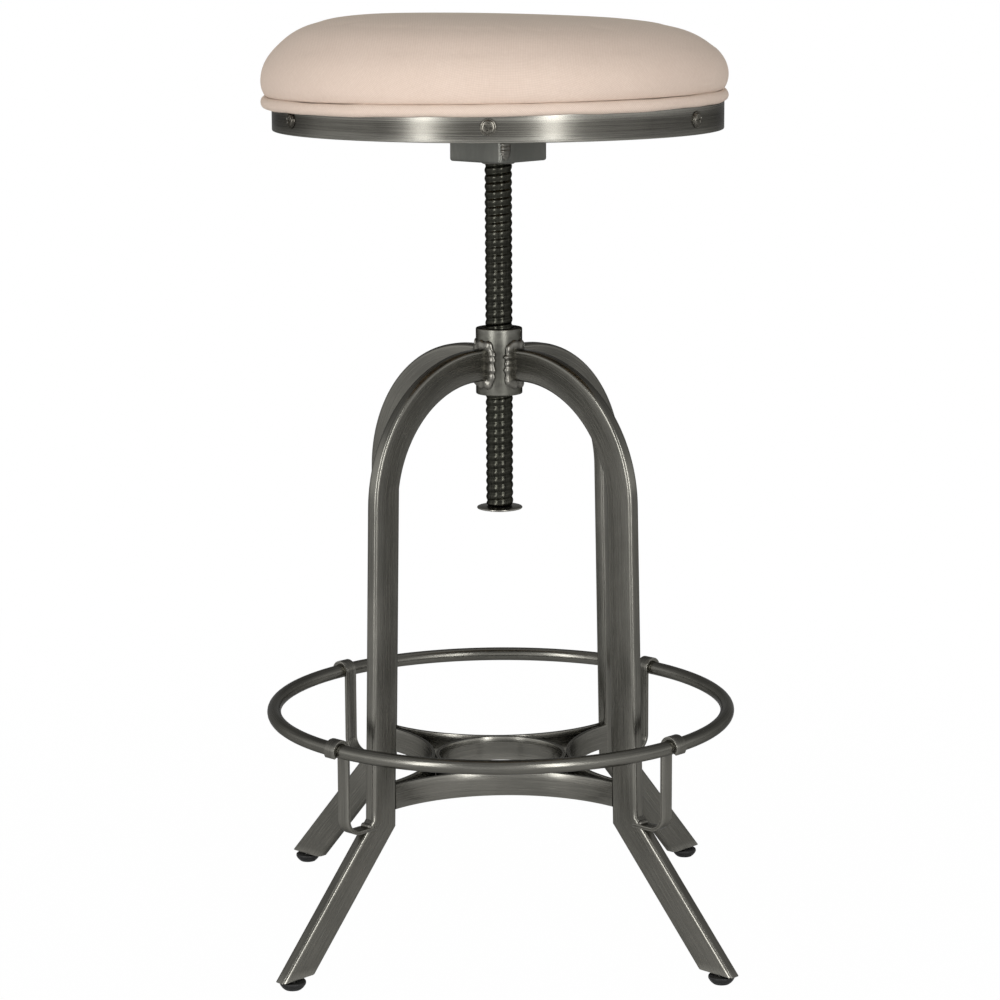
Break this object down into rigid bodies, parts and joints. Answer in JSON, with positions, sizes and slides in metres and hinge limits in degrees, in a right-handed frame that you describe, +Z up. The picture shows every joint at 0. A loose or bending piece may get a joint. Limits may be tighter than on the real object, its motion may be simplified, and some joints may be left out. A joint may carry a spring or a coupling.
{
  "type": "swivel stool",
  "caption": "Round padded stool on a lead screw that winds through the hub of an arched tube frame with a foot ring, a curved strip brace and levelling glides.",
  "frame": {"origin": "on the floor, on the axis of the lead screw", "axes": "+Z up along the lead screw, -Y to the front, legs on the diagonals between X and Y"},
  "size_m": [0.3719, 0.372, 0.723],
  "materials": {
    "linen": "woven linen",
    "foam": "open-cell foam",
    "plywood": "raw plywood",
    "gunmetal": "brushed, darkened and lacquered",
    "black_steel": "oiled black",
    "screw_steel": "antiqued zinc",
    "black_plastic": "moulded"
  },
  "bodies": {
    "base": {"hub": "gunmetal", "leg_front_left": "gunmetal", "leg_front_right": "gunmetal", "leg_rear_left": "gunmetal", "leg_rear_right": "gunmetal", "leg_plug_front_left": "black_plastic", "leg_plug_front_right": "black_plastic", "leg_plug_rear_left": "black_plastic", "leg_plug_rear_right": "black_plastic", "foot_ring": "gunmetal", "ring_bracket_front_left": "gunmetal", "ring_bracket_front_right": "gunmetal", "ring_bracket_rear_left": "gunmetal", "ring_bracket_rear_right": "gunmetal", "brace_ring": "gunmetal", "brace_arc_front": "gunmetal", "brace_arc_right": "gunmetal", "brace_arc_rear": "gunmetal", "brace_arc_left": "gunmetal"},
    "lift": {"stop_washer": "gunmetal"},
    "seat": {"seat_cover": "linen", "foam_pad": "foam", "seat_piping": "linen", "rim_band": "gunmetal", "rim_screws": "screw_steel", "seat_board": "plywood", "cross_bar_upper": "gunmetal", "cross_bar_lower": "gunmetal", "bar_screws": "screw_steel", "seat_block": "gunmetal", "lead_screw": "black_steel", "stop_bolt": "screw_steel"},
    "glide_front_left": {"glide_pad_front_left": "black_plastic", "glide_stud_front_left": "screw_steel"},
    "glide_front_right": {"glide_pad_front_right": "black_plastic", "glide_stud_front_right": "screw_steel"},
    "glide_rear_left": {"glide_pad_rear_left": "black_plastic", "glide_stud_rear_left": "screw_steel"},
    "glide_rear_right": {"glide_pad_rear_right": "black_plastic", "glide_stud_rear_right": "screw_steel"}
  },
  "joints": [
    {"name": "seat_lift", "type": "slide", "parent": "base", "child": "lift", "axis": [0, 0, 1], "range_m": [-0.1261, 0.0886]},
    {"name": "seat_turn", "type": "hinge", "parent": "lift", "child": "seat", "pos_m": [0, 0, 0.45], "axis": [0, 0, 1], "range_deg": [-7257.6, 5097.6]},
    {"name": "level_front_left", "type": "slide", "parent": "base", "child": "glide_front_left", "axis": [0, 0, -1], "range_m": [-0.001, 0.004]},
    {"name": "level_front_right", "type": "slide", "parent": "base", "child": "glide_front_right", "axis": [0, 0, -1], "range_m": [-0.001, 0.004]},
    {"name": "level_rear_left", "type": "slide", "parent": "base", "child": "glide_rear_left", "axis": [0, 0, -1], "range_m": [-0.001, 0.004]},
    {"name": "level_rear_right", "type": "slide", "parent": "base", "child": "glide_rear_right", "axis": [0, 0, -1], "range_m": [-0.001, 0.004]}
  ],
  "couplings": [
    {"joint": "seat_lift", "follows": "seat_turn", "m_per_rad": 0.00099472}
  ]
}
